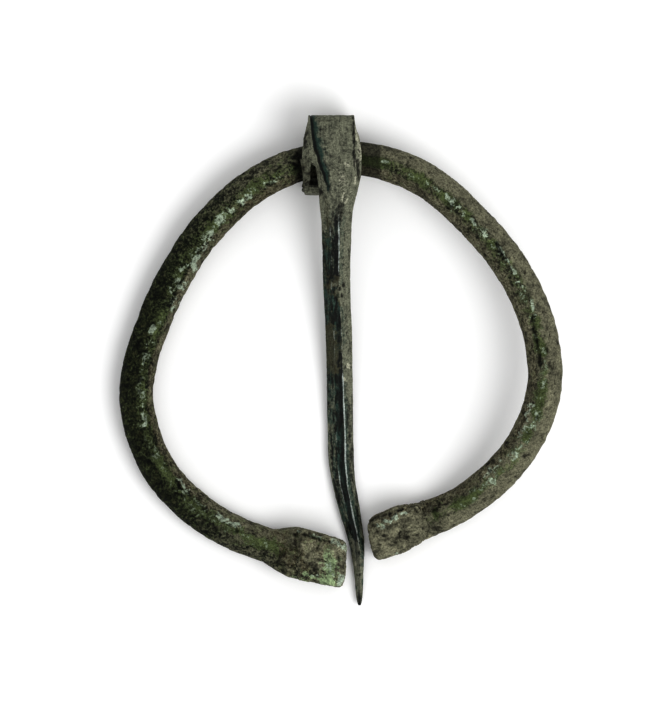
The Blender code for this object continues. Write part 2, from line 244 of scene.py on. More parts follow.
pin["drop"] = (
    (0, 1), (0.04, 0.99), (0.1, 0.86), (0.2, 0.6), (0.3, 0.37), (0.41, 0.19), (0.52, 0.065), (0.62, 0),
    (0.71, 0), (0.8, 0.02), (0.88, 0.05), (1, 0.1),
)  # share of the height at the rod


def rodPlace(bearing):
    # Bearings run clockwise from the pin's head
    radius = hoop["radius"] * readCurve(hoop["outline"], bearing)
    turn = math.radians(bearing)
    return Vector((radius * math.sin(turn), radius * math.cos(turn), readCurve(hoop["height"], bearing)))


rodTop = rodPlace(0).y
pinLength = rodTop - rodPlace(leftEnd["root"]).y + leftEnd["widths"][2] / 2 + pin["overhang"]
axisPlace = Vector(frame["joints"][0]["pos_m"]) / mm
shift = axisPlace - Vector((0, rodTop, axisHeight))


def shaftLine(share):
    # Underside of the shaft's middle, from 0 over the rod to 1 at the point
    height = readCurve(pin["drop"], share) * (axisHeight + bore)
    return Vector((pin["offset"] + readCurve(pin["sideways"], share), rodTop - share * pinLength, height))


def shaftEdge(y, side):
    share = (rodTop - y) / pinLength
    return shaftLine(share).x + side * readCurve(pin["width"], share) / 2


class Terminal:  # one end of the rod, flattened and folded back
    def __init__(self, end):
        heading = math.radians(end["heading"])
        face = math.radians(end["heading"] - end["skew"])
        side = end["side"]
        self.root = rodPlace(end["root"])
        self.along = Vector((-side * math.cos(heading), -math.sin(heading), 0))
        self.across = Vector((side * math.sin(face), -math.cos(face), 0))
        self.layer = end["layer"]
        self.foldLength = end["foldLength"]
        self.roundness = end["roundness"]
        self.flat = self.foldLength + hoop["tipGap"]
        self.rounded = self.flat + hoop["flattening"]
        endWidth, middleWidth, rootWidth = end["widths"]
        self.widths = (
            (0.0, endWidth), (0.5 * self.foldLength, middleWidth), (self.foldLength, rootWidth),
            (self.rounded, hoop["rodWidth"]),
        )
        self.end = self.root.copy()
        for _ in range(5):  # slides the end along until it leaves its gap beside the shaft
            corner = self.end - self.across * endWidth / 2
            target = shaftEdge(corner.y, side) + side * end["gap"]
            self.end += self.along * (target - corner.x) / self.along.x

    def away(self, centre):
        return (self.end - centre).dot(self.along)

    def width(self, away):
        return readCurve(self.widths, away)

    def towardRod(self, away, flattened, rod):
        return readCurve(((self.flat, flattened), (self.rounded, rod)), away)

    def section(self, away):
        depth = self.towardRod(away, self.layer, hoop["rodHeight"]) / 2
        return depth, self.towardRod(away, self.roundness, hoop["rodRoundness"])

    def stations(self):
        up = Vector((0, 0, 1))
        half = self.layer / 2
        turnRadius = half + hoop["slit"] / 2
        reach = turnRadius + half
        turnStart = self.end - self.along * reach
        steps = round((turnStart - self.root).length / hoop["layerStep"])
        rows = []
        for step in range(1, steps + 1):
            centre = between(self.root, turnStart, step / steps)
            away = self.away(centre)
            depth, roundness = self.section(away)
            rows.append((centre, self.across, up, self.width(away), depth, depth, roundness, 0.0))
        pivot = turnStart + up * turnRadius
        for step in range(1, hoop["turnSteps"] + 1):
            angle = math.pi * step / hoop["turnSteps"]
            inward = up * math.cos(angle) - self.along * math.sin(angle)
            centre = pivot - inward * turnRadius
            outer = half * (1 + hoop["squareness"] * math.sin(2 * angle) ** 2)
            width = self.width(self.away(centre))
            rows.append((centre, self.across, inward, width, half, outer, self.roundness, 1.0))
        top = pivot + up * turnRadius
        run = self.foldLength - reach
        for step in range(1, hoop["foldSteps"] + 1):
            share = step / hoop["foldSteps"]
            worn = max(0.0, (share - hoop["wearStart"]) / (1 - hoop["wearStart"]))
            thinning = hoop["tipWear"] * worn ** 2
            depth = half * (1 - thinning)
            width = self.width(reach + run * share) * (1 - thinning / 2)
            centre = top - self.along * run * share - up * (half - depth) / 2
            rows.append((centre, self.across, -up, width, depth, depth, self.roundness, 1.0))
        return rows


def armStations(left, right):
    rows = []
    for step in range(hoop["armSteps"] + 1):
        bearing = between(leftEnd["root"], rightEnd["root"], step / hoop["armSteps"])
        terminal = left if bearing < 0 else right
        centre = rodPlace(bearing)
        tangent = (rodPlace(bearing + 1) - rodPlace(bearing - 1)).normalized()
        side = Vector((-tangent.y, tangent.x, 0)).normalized()
        up = tangent.cross(side)
        away = (terminal.end - centre).length
        lean = math.radians(readCurve(hoop["crownLean"], bearing)) * terminal.towardRod(away, 0.0, 1.0)
        depth, roundness = terminal.section(away)
        leaningSide = side * math.cos(lean) + up * math.sin(lean)
        leaningUp = up * math.cos(lean) - side * math.sin(lean)
        rows.append((centre, leaningSide, leaningUp, terminal.width(away), depth, depth, roundness, 0.0))
    return rows


fill = {  # crust in the step before a fold's tip, in millimetres
    "belowFold": 1.1,
    "fall": 0.5,
    "bow": 1.2,
    "lumps": 0.3,
    "startBeforeTip": 0.6,
    "fullBeforeTip": 0.2,
    "reach": 4.0,
}


def crustFill(terminal, place, rise, depth):
    # Slopes from the fold down to the rod
    away = np.linalg.norm(place[:, :2] - np.array(terminal.end + shift)[:2], axis=1)
    foldTop = terminal.root.z + shift.z + 1.5 * terminal.layer + hoop["slit"]
    beyond = np.maximum(0, away - terminal.foldLength)
    slope = foldTop - fill["belowFold"] - fill["fall"] * beyond ** fill["bow"]
    slope = slope + fill["lumps"] * crumbs(place, 1.0, 3, 83)
    start = terminal.foldLength - fill["startBeforeTip"]
    near = ramp(away, start, terminal.foldLength - fill["fullBeforeTip"])
    upper = ramp(rise / depth, 0.15, 0.75)
    lift = np.maximum(0, slope - place[:, 2]) * near * upper
    return place + np.outer(lift, (0, 0, 1))


def quarterOutline(half, depth, roundness):
    # Even steps up a quarter of a superellipse from its side, and what remains of the way to its crown
    angles = np.linspace(0, np.pi / 2, 90)
    across = half * np.cos(angles) ** (2 / roundness)
    rise = depth * np.sin(angles) ** (2 / roundness)
    run = np.concatenate([[0], np.cumsum(np.hypot(np.diff(across), np.diff(rise)))])
    even = np.linspace(0, run[-1], hoop["columns"] // 4 + 1)
    return np.interp(even, run, across), np.interp(even, run, rise), run[-1] - even


def sectionOutline(width, depthIn, depthOut, roundness):
    # The whole section, and each point's way round from the crown
    across, rise, fromCrown = [], [], []
    for quarter in range(4):
        upper = quarter < 2
        outline = quarterOutline(width / 2, depthIn if upper else depthOut, roundness)
        if quarter % 2:
            outline = [values[::-1] for values in outline]
        sideways, upward, remaining = (values[:-1] for values in outline)
        across.append(sideways if quarter in (0, 3) else -sideways)
        rise.append(upward if upper else -upward)
        fromCrown.append(remaining if upper else np.full_like(remaining, hoop["fromCrownBelow"]))
    return np.concatenate(across), np.concatenate(rise), np.concatenate(fromCrown)


def hoopGrid():
    left, right = Terminal(leftEnd), Terminal(rightEnd)
    rows = left.stations()[::-1] + armStations(left, right) + right.stations()
    grid, flow, crown, folded, fromEnd = [], [], [], [], []
    run = 0.0
    before = rows[0][0]
    for centre, side, up, width, depthIn, depthOut, roundness, fold in rows:
        across, rise, fromCrown = sectionOutline(width, depthIn, depthOut, roundness)
        run += (centre - before).length
        before = centre
        place = np.array(centre + shift) + np.outer(across, np.array(side)) + np.outer(rise, np.array(up))
        terminal = left if centre.x < 0 else right
        away = (terminal.end - centre).length
        if fold == 0 and away < terminal.foldLength + fill["reach"] and centre.y < 0:
            place = crustFill(terminal, place, rise, depthIn)
        grid.append(place)
        fromEnd.append(np.full_like(across, away))
        flow.append(flowOf(run, across, rise))
        crown.append(fromCrown)
        folded.append(np.full_like(across, fold))
    return np.array(grid), np.array(flow), np.array(crown), np.array(folded), np.array(fromEnd)


# Pin

def straight(start, finish):
    steps = max(1, round((finish - start).length / pin["step"]))
    return [between(start, finish, n / steps) for n in range(steps)]


def bendRound(before, corner, after, radius):
    start = (before - corner).normalized()
    finish = (after - corner).normalized()
    middle = corner + (start + finish) * radius
    points = []
    for n in range(pin["cornerSteps"] + 1):
        angle = math.pi / 2 * n / pin["cornerSteps"]
        points.append(middle - finish * radius * math.cos(angle) - start * radius * math.sin(angle))
    return points


def pinPath():
    # Places on the strip's inner face from its tail round the rod, then along the shaft
    inside = -(rodReach + pin["slackInside"])
    outside = rodReach + pin["slackOutside"]
    tailTop = shaftLine(-inside / pinLength).z - axisHeight - pin["tailGap"]
    tail = Vector((0, inside, tailTop))
    corners = [tail, Vector((0, inside, -bore)), Vector((0, outside, -bore)), Vector((0, outside, bore))]
    crown = Vector((0, 0, bore))
    fillets = (pin["loopFillet"], pin["loopFillet"], pin["crownFillet"])
    bends = []
    for n in range(3):
        after = corners[n + 2] if n < 2 else crown
        bends.append(bendRound(corners[n], corners[n + 1], after, fillets[n]))
    points = []
    start = tail
    for fillet in bends:
        points += straight(start, fillet[0]) + fillet[:-1]
        start = fillet[-1]
    points += straight(start, crown)
    runs = [0.0]
    for before, after in zip(points, points[1:]):
        runs.append(runs[-1] + (after - before).length)
    whole = runs[-1] + (points[-1] - crown).length
    path = []
    for point, run in zip(points, runs):
        key = run / whole - 1
        path.append((key, Vector((pin["offset"] + readCurve(pin["sideways"], key), point.y, point.z))))
    steps = round(pinLength / (pin["step"] * 0.9))
    for n in range(steps + 1):
        path.append((n / steps, shaftLine(n / steps) - Vector((0, rodTop, axisHeight))))
    return path


pinEdgeCounts = (14, 8, 6, 16, 34, 16, 6, 8)  # points along each edge, from the underside round
pinCorners = {"base": (0.97, 0.5), "low": (0.1, 0.32), "high": (0.35, 0.52)}  # on the strip and on the shaft


def pinSection(key):
    half = readCurve(pin["width"], key) / 2
    depth = readCurve(pin["thickness"], key)
    faceting = readCurve(pin["faceting"], key)
    base = between(*pinCorners["base"], faceting) * half
    low = between(*pinCorners["low"], faceting) * depth
    high = between(*pinCorners["high"], faceting) * depth
    flatLeft = readCurve(pin["flatLeft"], key) * half
    flatRight = readCurve(pin["flatRight"], key) * half
    leftHalf = half * readCurve(pin["leftShare"], key)
    corners = np.array((
        (-base * leftHalf / half, 0), (base, 0), (half, low), (half, high),
        (flatRight, depth), (flatLeft, depth), (-leftHalf, high), (-leftHalf, low),
    ))
    points = []
    for n, count in enumerate(pinEdgeCounts):
        share = np.linspace(0, 1, count + 1)[:-1, None]
        points.append(corners[n] * (1 - share) + corners[(n + 1) % 8] * share)
    points = np.concatenate(points)
    for _ in range(2):  # takes the sharpness off the corners
        points = 0.5 * points + 0.25 * (np.roll(points, 1, axis=0) + np.roll(points, -1, axis=0))
    return points[:, 0], points[:, 1]


def pinGrid():
    path = pinPath()
    grid, flow, keys = [], [], []
    run = 0.0
    for i, (key, place) in enumerate(path):
        before = path[max(i - 1, 0)][1]
        after = path[min(i + 1, len(path) - 1)][1]
        tangent = after - before
        outward = Vector((0, tangent.z, -tangent.y)).normalized()
        run += (place - before).length
        across, rise = pinSection(key)
        start = np.array(place + axisPlace)
        push = 0.0
        if key < -0.1 and outward.y > 0 and outward.z > 0:
            square = (outward.y ** 5 + outward.z ** 5) ** -0.2 - 1
            push = square * (pin["crownFillet"] + rise) * rise / readCurve(pin["thickness"], key)
        grid.append(start + np.outer(across, (1, 0, 0)) + np.outer(rise + push, np.array(outward)))
        flow.append(flowOf(run, across, rise))
        keys.append(np.full_like(across, key))
    return np.array(grid), np.array(flow), np.array(keys)


# Surface work

def addObject(name, data):
    item = bpy.data.objects.new(name, data)
    bpy.context.scene.collection.objects.link(item)
    return item


def gridNormals(grid):
    along = np.gradient(grid, axis=0)
    around = np.roll(grid, -1, axis=1) - np.roll(grid, 1, axis=1)
    normals = np.cross(around, along)
    normals /= np.linalg.norm(normals, axis=-1, keepdims=True) + 1e-12
    away = grid - grid.mean(axis=1, keepdims=True)
    if np.sum(normals * away) < 0:
        normals = -normals
    return normals


def strokeMasks(points, normals, tables, seed, solid):
    # A strength of 0 to 1 for each table's strokes on the top, ragged and, unless solid, broken up
    plan = points[..., :2]
    upward = ramp(normals[..., 2], 0.0, 0.35)
    ragged = crumbs(points, 0.7, 3, seed)
    broken = ramp(crumbs(points, 0.55, 2, seed + 5), -0.4, 0.15)
    masks = {}
    for label, strokes in tables.items():
        mask = np.zeros(points.shape[:-1])
        for x0, y0, x1, y1, width, strength in strokes:
            start = np.array((x0, y0))
            line = np.array((x1 - x0, y1 - y0))
            share = np.clip((plan - start) @ line / (line @ line), 0, 1)
            away = np.linalg.norm(plan - start - share[..., None] * line, axis=-1)
            rough = ragged * (width * 1.1 + 0.08)
            mask = np.maximum(mask, strength * ramp(-(away + rough), -width * 1.5, -width * 0.5))
        whole = solid.get(label, 0.45)
        masks[label] = mask * upward * (whole + (1 - whole) * broken)
    return masks


def shares(values):
    # Every mark held between 0 and 1
    return {label: np.clip(part, 0, 1) for label, part in values.items()}


def skin(name, parts):
    # One mesh of closed shells, each a grid of rings with its flow and a value of each mark at every point
    points, faces = [], []
    layers = {label: [] for label in ("flow", *parts[0][2])}
    base = 0
    for grid, flow, values in parts:
        rows, columns = grid.shape[:2]
        caps = np.stack([grid[0].mean(axis=0), grid[-1].mean(axis=0)])
        shell = np.concatenate([grid.reshape(-1, 3), caps]) * mm
        index = np.arange(rows * columns).reshape(rows, columns)
        after = np.roll(index, -1, axis=1)
        quads = np.stack([index[:-1], after[:-1], after[1:], index[1:]], axis=-1).reshape(-1, 4)
        first = rows * columns
        last = first + 1
        ends = [(first, int(after[0, n]), int(index[0, n])) for n in range(columns)]
        ends += [(last, int(index[-1, n]), int(after[-1, n])) for n in range(columns)]
        centre = shell.mean(axis=0)
        a, b, c = (shell[quads[:, k]] - centre for k in range(3))
        turned = np.sum(a * np.cross(b, c)) < 0
        for face in quads.tolist() + ends:
            placed = [base + corner for corner in face]
            faces.append(placed[::-1] if turned else placed)
        points.append(shell)
        for label, part in {"flow": flow, **values}.items():
            flat = np.asarray(part, dtype=np.float32).reshape(rows * columns, -1)
            tips = [flat[:columns].mean(axis=0), flat[-columns:].mean(axis=0)]
            layers[label].append(np.concatenate([flat, tips]))
        base += len(shell)
    mesh = bpy.data.meshes.new(name)
    mesh.from_pydata(np.concatenate(points).tolist(), [], faces)
    mesh.shade_smooth()
    for label, layer in layers.items():
        wide = label == "flow"
        values = mesh.attributes.new(label, "FLOAT_VECTOR" if wide else "FLOAT", "POINT")
        values.data.foreach_set("vector" if wide else "value", np.concatenate(layer).ravel())
    return addObject(name, mesh)


# Shaders

class Wire:  # one output socket, so that sums on it read as sums
    def __init__(self, graph, socket):
        self.graph = graph
        self.socket = socket

    def maths(self, operation, *values):
        inputs = {n: value for n, value in enumerate(values)}
        return self.graph.add("ShaderNodeMath", {"operation": operation}, inputs)

    def __add__(self, other):
        return self.maths("ADD", self, other)

    def __sub__(self, other):
        return self.maths("SUBTRACT", self, other)

    def __mul__(self, other):
        return self.maths("MULTIPLY", self, other)

    def __radd__(self, other):
        return self.maths("ADD", other, self)

    def __rsub__(self, other):
        return self.maths("SUBTRACT", other, self)

    def __rmul__(self, other):
        return self.maths("MULTIPLY", other, self)

    def step(self, low, high):
        # 0 at low, 1 at high and smooth between them
        settings = {"interpolation_type": "SMOOTHSTEP"}
        values = {"Value": self, "From Min": low, "From Max": high, "To Min": 0.0, "To Max": 1.0}
        return self.graph.add("ShaderNodeMapRange", settings, values)


class Graph:  # a material's nodes
    def __init__(self, name):
        self.material = bpy.data.materials.new(name)
        self.material.use_nodes = True
        self.tree = self.material.node_tree
        self.tree.nodes.clear()
        place = self.add("ShaderNodeTexCoord", out="Object")
        self.place = self.scaled(place, 1 / mm)

    def add(self, kind, settings=None, values=None, out=0):
        node = self.tree.nodes.new(kind)
        for label, value in (settings or {}).items():
            setattr(node, label, value)
        for label, value in (values or {}).items():
            if isinstance(value, Wire):
                self.tree.links.new(value.socket, node.inputs[label])
            else:
                node.inputs[label].default_value = value
        return Wire(self, node.outputs[out]) if node.outputs else None

    def mark(self, label):
        return self.add("ShaderNodeAttribute", {"attribute_name": label}, out="Fac")

    def flow(self, stretch):
        # The unbent section's coordinates in millimetres, drawn out along the length
        vector = self.add("ShaderNodeAttribute", {"attribute_name": "flow"}, out="Vector")
        return self.vector("MULTIPLY", {0: vector, 1: (stretch, 1, 1)})

    def grain(self, size, detail=3.0, roughness=0.6, distortion=0.0, place=None, offset=0.0):
        # Noise about 0 to 1 with lumps of this size in millimetres
        step = (offset, offset * 0.7, -offset)
        moved = self.vector("ADD", {0: place or self.place, 1: step})
        values = {"Vector": moved, "Scale": 1 / size, "Detail": detail}
        values.update({"Roughness": roughness, "Distortion": distortion})
        return self.add("ShaderNodeTexNoise", {"noise_dimensions": "3D"}, values, out="Fac")

    def layer(self, colour, layers, look):
        # Each colour of the look over the one before, by its share
        for label, share in layers.items():
            colour = self.blend(share, colour, look[label])
        return colour

    def vector(self, operation, values):
        return self.add("ShaderNodeVectorMath", {"operation": operation}, values)

    def blend(self, share, first, second):
        return self.add("ShaderNodeMix", {"data_type": "RGBA"}, {0: share, 6: first, 7: second}, out=2)

    def scaled(self, colour, amount):
        # A colour or a place, times an amount
        return self.vector("SCALE", {0: colour, "Scale": amount})

    def finish(self, colour, roughness, metallic, relief, look):
        height = {"Strength": 1.0, "Distance": look["reliefDepth"] * mm, "Height": relief}
        values = {
            "Base Color": colour, "Roughness": roughness, "Metallic": metallic,
            "Specular IOR Level": look["specular"], "Normal": self.add("ShaderNodeBump", None, height),
        }
        return self.surface(values)

    def surface(self, values):
        shader = self.add("ShaderNodeBsdfPrincipled", None, values)
        self.add("ShaderNodeOutputMaterial", None, {"Surface": shader})
        return self.material


def tone(red, green, blue):
    # A colour as it shows on a screen, 0 to 255, turned into light
    light = []
    for part in (red, green, blue):
        c = part / 255
        light.append(c / 12.92 if c <= 0.04045 else ((c + 0.055) / 1.055) ** 2.4)
    return (*light, 1.0)


hoopFinish = {
    "greenBlack": tone(13, 18, 8),
    "olive": tone(56, 62, 39),
    "brown": tone(68, 60, 40),
    "dust": tone(112, 111, 93),
    "pale": tone(143, 154, 138),
    "moss": tone(75, 84, 54),
    "green": tone(132, 148, 115),
    "roughness": 0.66,
    "specular": 0.11,
    "reliefDepth": 0.12,
}


def hoopMaterial():
    # A colour shows where its mark and the noises add up to enough
    graph = Graph("corrodedHoopBronze")
    look = hoopFinish
    broad = graph.grain(2.6, 3, 0.6)
    mottle = graph.grain(0.8, 4, 0.65, 0.4, offset=3.0).step(0.3, 0.7)
    blotch = graph.grain(0.95, 4, 0.62, 0.8, offset=21.0).step(0.36, 0.64)
    fine = graph.grain(0.34, 3, 0.7, 0.3, offset=9.0).step(0.3, 0.7)
    grit = graph.grain(0.2, 2, 0.6, offset=33.0).step(0.32, 0.68)
    dust, pale, green, moss = map(graph.mark, ("dust", "pale", "green", "moss"))
    raised, brown, hollow, dark = map(graph.mark, ("raised", "brown", "hollow", "dark"))
    mixed = (mottle * 0.5 + fine * 0.4 + broad * 0.3).step(0.35, 1.0)
    earthy = (brown + mottle * 0.5 + fine * 0.3 - 0.4).step(0.1, 0.6)
    dusty = (dust * 1.25 + mottle * 0.35 + fine * 0.35 - 0.55).step(0.05, 0.8)
    mossy = (moss * 1.1 + blotch * 0.5 + fine * 0.4 - 0.65).step(0.1, 0.7)
    greenish = (green * 1.25 + blotch * 0.25 + fine * 0.4 - 0.5).step(0.0, 0.9)
    paleness = (pale * 1.1 + blotch * 0.7 + fine * 0.45 - 1.05).step(0.0, 0.5) * 0.9
    colour = graph.blend(mixed, look["greenBlack"], look["olive"])
    layers = {"brown": earthy, "dust": dusty, "moss": mossy, "green": greenish, "pale": paleness}
    colour = graph.layer(colour, layers, look)
    # The dark marks darken it too; the crust's hollows and cracks get painted shade and its raised parts
    # painted light
    shade = (1 - hollow * 0.8) * (1 - dark * 0.85) * (1 + raised * 0.45)
    colour = graph.scaled(colour, shade * (0.32 + fine * 0.6 + grit * 0.62))
    relief = mottle * 0.3 + fine * 0.4 + grit * 0.25 + paleness * 0.2
    rough = look["roughness"] + mottle * 0.15 + dusty * 0.12
    return graph.finish(colour, rough, 0.0, relief, look)


pinFinish = {
    "black": tone(14, 18, 13),
    "teal": tone(44, 66, 58),
    "brown": tone(64, 62, 44),
    "dust": tone(113, 115, 99),
    "pale": tone(158, 158, 140),
    # colour of the painted highlight on the worn ridge
    "glint": tone(168, 176, 171),
    "roughness": 0.45,
    "specular": 0.16,
    "reliefDepth": 0.06,
}


def pinMaterial():
    graph = Graph("wornPinBronze")
    look = pinFinish
    mottle = graph.grain(0.75, 4, 0.65, 0.5, offset=13.0).step(0.3, 0.7)
    fine = graph.grain(0.3, 3, 0.7, 0.3, offset=29.0).step(0.3, 0.7)
    grit = graph.grain(0.19, 2, 0.6, offset=43.0).step(0.32, 0.68)
    streak = graph.grain(0.32, 3, 0.6, 0.2, place=graph.flow(0.2)).step(0.3, 0.7)
    dust, pale, glint, teal = map(graph.mark, ("dust", "pale", "glint", "teal"))
    brown, hollow, dark = map(graph.mark, ("brown", "hollow", "dark"))
    bluish = (teal + streak * 0.6 + fine * 0.2 - 0.42).step(0.1, 0.8)
    earthy = (brown + mottle * 0.4 + streak * 0.3 + fine * 0.3 - 0.65).step(0.05, 0.6) * 0.85
    dusty = (dust * 1.25 + mottle * 0.22 + streak * 0.35 + fine * 0.25 - 0.52).step(0.05, 0.85)
    paleness = (pale * 1.1 + mottle * 0.3 + fine * 0.3 - 0.6).step(0.0, 0.6)
    # Painted highlight along the worn ridges: a pale, partly metallic colour
    shine = (glint * 1.2 + streak * 0.4 + fine * 0.12 - 0.5).step(0.1, 0.7)
    colour = graph.blend(bluish, look["black"], look["teal"])
    colour = graph.layer(colour, {"brown": earthy, "dust": dusty, "pale": paleness, "glint": shine}, look)
    # The dark marks darken it too; pits and grooves get painted shade
    shade = (1 - hollow * 0.6) * (1 - dark * 0.9)
    colour = graph.scaled(colour, shade * (0.42 + fine * 0.48 + grit * 0.55))
    relief = mottle * 0.3 + fine * 0.3 + streak * 0.25 + grit * 0.15
    rough = look["roughness"] + mottle * 0.15 + dusty * 0.2
    return graph.finish(colour, rough, shine * 0.35, relief, look)


# Hoop's skin

hoopPaint = {
    "bearings": (-170, -150, -130, -105, -80, -55, -30, 5, 30, 60, 90, 110, 130, 155),
    "dustOutside": (0.38, 0.45, 0.12, 0.02, 0.08, 0.22, 0.46, 0.65, 0.9, 0.88, 1, 1, 0.8, 0.7),
    "dustCrown": (0.36, 0.62, 0.15, 0.08, 0.2, 0.2, 0.42, 0.42, 0.42, 0.4, 0.64, 0.98, 0.76, 0.6),
    "dustInside": (0.55, 0.65, 0.5, 0.45, 0.55, 0.6, 0.4, 0.4875, 0.55, 0.56, 0.52, 0.5, 0.5, 0.5),
    "paleCrest": (
        (-170, 0), (-160, 0.25), (-145, 0.6), (-128, 0.5), (-112, 0.45), (-100, 0.55), (-80, 0.6),
        (-60, 0.62), (-40, 0.6), (-25, 0.35), (0, 0), (15, 0.25), (30, 0.5), (45, 0.62), (60, 0.6),
        (75, 0.45), (100, 0.6), (120, 0.75), (140, 0.45), (155, 0),
    ),
}


def bearingsOf(points):
    centred = points[..., :2] - np.array(shift)[:2]
    return np.degrees(np.arctan2(centred[..., 0], centred[..., 1]))


def tableOver(rows, values):
    keys = [row[0] for row in rows]
    return np.interp(values, keys, [row[1] for row in rows])


hoopMarks = {  # strokes in millimetres: x, y to x, y, half width, strength
    "green": (
        (-1.3, -26, -1.4, -28.3, 0.85, 0.9), (-0.9, -27, -1.1, -28.6, 0.5, 0.9),
        (-4.6, -27.6, -2.4, -28.4, 0.3, 0.9), (-1.5, -24.9, -1.4, -26, 0.6, 0.5),
        (-6.3, -28, -4, -28.6, 0.25, 0.6), (-2.5, -28.8, 0, -29.2, 0.2, 0.7),
        (-3.7, -22.6, -2, -23.1, 0.2, 0.6), (5.07, -21.3, 5.3, -21.2, 0.25, 0.6),
    ),
    "pale": (
        (-0.9, -23.3, -0.2, -23.8, 0.4, 1), (0.4, -24, 1, -24.6, 0.42, 1), (0.1, -28, -0.1, -28.8, 0.4, 1),
        # Painted highlights: the strokes from (-5.7, -22) and from (-3.7, -22.5), along the upper edge of
        # the left terminal's slit
        (-3.6, -27.8, -3, -28, 0.25, 0.8), (-5.7, -22, -4.9, -22.2, 0.2, 0.9),
        (-3.7, -22.5, -2.4, -22.8, 0.2, 0.9), (4.9, -21.3, 5.4, -21.4, 0.3, 0.9),
        (5.9, -20.8, 6.5, -21, 0.3, 0.9), (6.8, -20.4, 7.3, -20.3, 0.3, 0.9),
        (7.8, -19.9, 8.4, -19.7, 0.25, 0.9), (7, -25, 7.4, -25.1, 0.2, 0.7),
        (-1.5, -26.4, -1.1, -27.8, 0.5, 0.6), (-9.4, 23, -8.2, 23.6, 0.5, 0.45),
        (-13, 20.7, -11.9, 21.3, 0.45, 0.7), (-14.4, 19.4, -13.9, 19.8, 0.4, 0.9),
        (-15.9, 18.1, -15.4, 18.6, 0.5, 1), (-17, 15.9, -16.5, 16.6, 0.4, 0.9),
        (-17.8, 14.8, -17.4, 15.3, 0.4, 0.8), (-19.3, 12.2, -18.6, 13.5, 0.55, 0.9),
        (-20.9, 9.1, -20.3, 10.3, 0.5, 0.7), (-22.1, 7.2, -21.3, 8.6, 0.6, 0.7),
        (-24.6, 3.6, -24.4, 4.4, 0.3, 0.9), (-25.2, 2, -25.7, -1, 0.18, 0.8),
        (5.5, 25.9, 6, 25.8, 0.2, 0.6), (13.8, 21.3, 14.5, 20.7, 0.35, 0.9),
        (15.2, 19.9, 15.8, 19.3, 0.3, 0.9), (17.1, 18.2, 17.5, 17.7, 0.35, 0.9),
        (18.3, 16.8, 18.9, 16.2, 0.35, 0.8), (20.6, 14.6, 22.5, 11.4, 0.16, 0.8),
        (23, 10.2, 23.3, 9.6, 0.25, 0.9), (24.8, 7.5, 25.1, 6.3, 0.25, 0.8),
        (-20.9, -15.4, -19.6, -17.3, 0.3, 0.65), (-16, -20.2, -14.6, -20.9, 0.35, 0.9),
        (-14, -21.1, -12.9, -21.5, 0.3, 0.8), (-25.9, -4.5, -25.5, -8.5, 0.18, 0.7),
        (-18.4, -18.6, -17.4, -19.4, 0.25, 0.6), (24.6, -5.8, 23.4, -9.6, 0.35, 0.7),
        (21, -12.6, 18.6, -14.9, 0.35, 0.6),
    ),
    # Painted shade among these: the strokes from (-4.9, -22.35), (-2.7, -23) and (6.2, -19.9) in the
    # terminals' slits, from (3.4, -20.6) over the right terminal's upper left, and from (-5.4, 26.6), a
    # shadow on the hoop beside the head's loop
    "dark": (
        (-4.9, -22.35, -2.7, -23, 0.18, 1), (-2.7, -23, -1.4, -23.4, 0.14, 0.8),
        (-4.5, -25.3, -4, -24.8, 0.1, 0.4), (-4, -24.8, -3.2, -24.4, 0.1, 0.4),
        (-3.2, -24.4, -2.7, -23.8, 0.1, 0.4), (-0.33, -25, -0.2, -25.9, 0.12, 0.8),
        (-6.1, -22.4, -5.9, -23.7, 0.2, 0.5), (-6.3, -26.4, -5.8, -27.4, 0.16, 0.5),
        (-3.4, -27, -3, -27.2, 0.16, 0.6), (6.2, -19.9, 8.1, -19.2, 0.2, 1),
        (6.2, -21.5, 7.1, -21.3, 0.3, 0.6), (3.4, -20.6, 6, -19.9, 0.6, 0.5),
        (9.2, -18.8, 10.9, -20.1, 0.12, 0.35), (10.9, -20.1, 11.6, -21.6, 0.1, 0.3),
        (11.6, -21.6, 11.1, -22.9, 0.1, 0.3), (7.6, -22.4, 8.2, -21.6, 0.12, 0.6),
        (5.6, -22.6, 6.6, -23.4, 0.1, 0.6), (8.6, -23, 9.6, -22.4, 0.12, 0.5),
        (-5.4, 26.6, -4.7, 23.6, 0.7, 1), (20.1, 15.3, 21.9, 11.6, 0.2, 0.65),
        (24.8, 5.9, 25.8, -0.6, 0.24, 0.65), (11.9, -19, 12.6, -22, 0.9, 0.2),
    ),
    "brown": (
        (-7.9, -23, -6.5, -25.5, 1, 0.8), (4.2, -23.6, 5.6, -24.9, 0.9, 0.7),
        (9.2, -19.4, 11.5, -19.6, 0.8, 0.3), (-5, -23.8, -4.6, -26.6, 0.7, 0.4),
    ),
    "dust": (
        (-3.9, -25.3, -3.2, -26.2, 0.8, 0.5), (-0.4, -24.6, -0.1, -27.8, 0.5, 0.4),
        (6, -22.5, 9.8, -21, 1.8, 0.6),
    ),
}


def ridged(points, size, octaves, seed):
    # Sharp-crested noise, 0 to 1
    total = np.zeros(points.shape[:-1])
    for n in range(octaves):
        total += (1 - np.abs(lumps(points, size / 2 ** n, seed + n)) * 2.2) * 0.5 ** n
    return np.clip(total / 1.6, 0, 1)


hoopRelief = {  # heights in millimetres
    "swell": 0.05,
    "lump": 0.06,
    "flake": 0.045,
    "sunk": 0.02,
    "pit": 0.10,
    "crest": 0.05,
    "darkStroke": 0.2,
    "paleStroke": 0.05,
    "endCrag": 0.15,
    "endFlake": 0.05,
    "endFibre": 0.07,
    "endCrack": 0.12,
    "highest": 0.10,
    "heldUnderLoop": 0.18,
}


